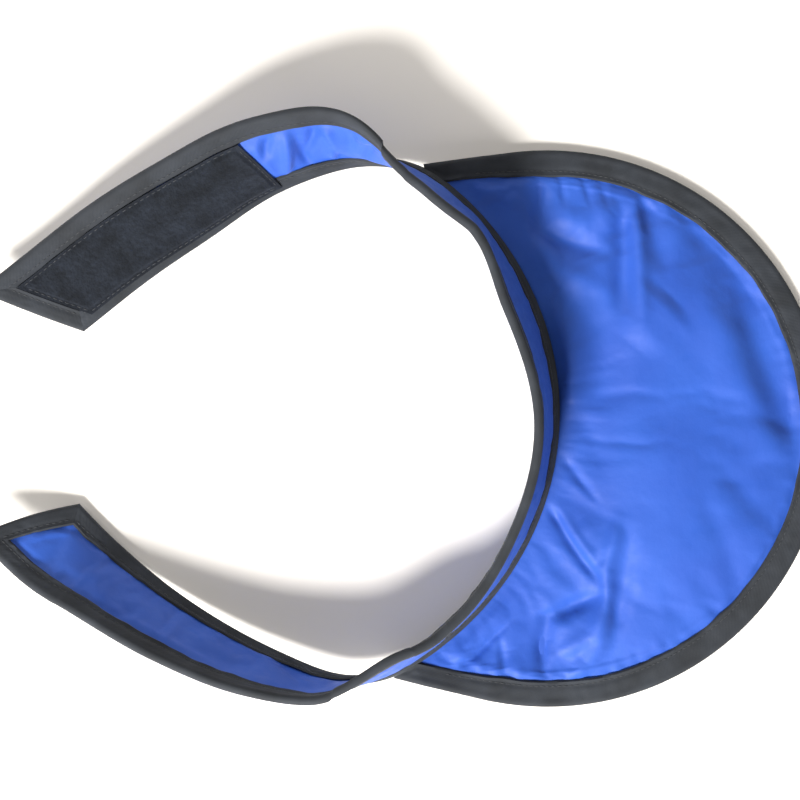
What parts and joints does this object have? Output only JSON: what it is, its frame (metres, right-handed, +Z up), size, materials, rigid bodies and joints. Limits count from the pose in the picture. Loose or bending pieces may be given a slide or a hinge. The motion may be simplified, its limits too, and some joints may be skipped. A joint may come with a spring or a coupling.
{
  "type": "thyroid shield collar",
  "caption": "Padded thyroid shield collar lying open: crescent bib, neckband standing along its inner edge with free arms, taped edges and hook-and-loop closure.",
  "frame": {"origin": "centre of the collar's bounding box, on the surface that it lies on", "axes": "-Y towards the hem of the bib (the wearer's front), +X towards the arm with the loop patch on its inside, +Z up from the surface, out of the bib's outside face"},
  "size_m": [0.2388, 0.3546, 0.047],
  "materials": {
    "shell_fabric": "coated nylon shell over padding, soft sheen",
    "binding_tape": "black woven bias tape, matt",
    "fastener_pile": "black hook-and-loop pile, matt and fuzzy"
  },
  "bodies": {
    "root": {"bib_panel": "shell_fabric", "hem_binding": "binding_tape", "neckband_panel": "shell_fabric", "neck_seam_binding": "binding_tape", "top_edge_binding": "binding_tape", "loop_tip_binding": "binding_tape", "hook_tip_binding": "binding_tape", "loop_patch": "fastener_pile", "hook_patch": "fastener_pile"}
  },
  "joints": []
}
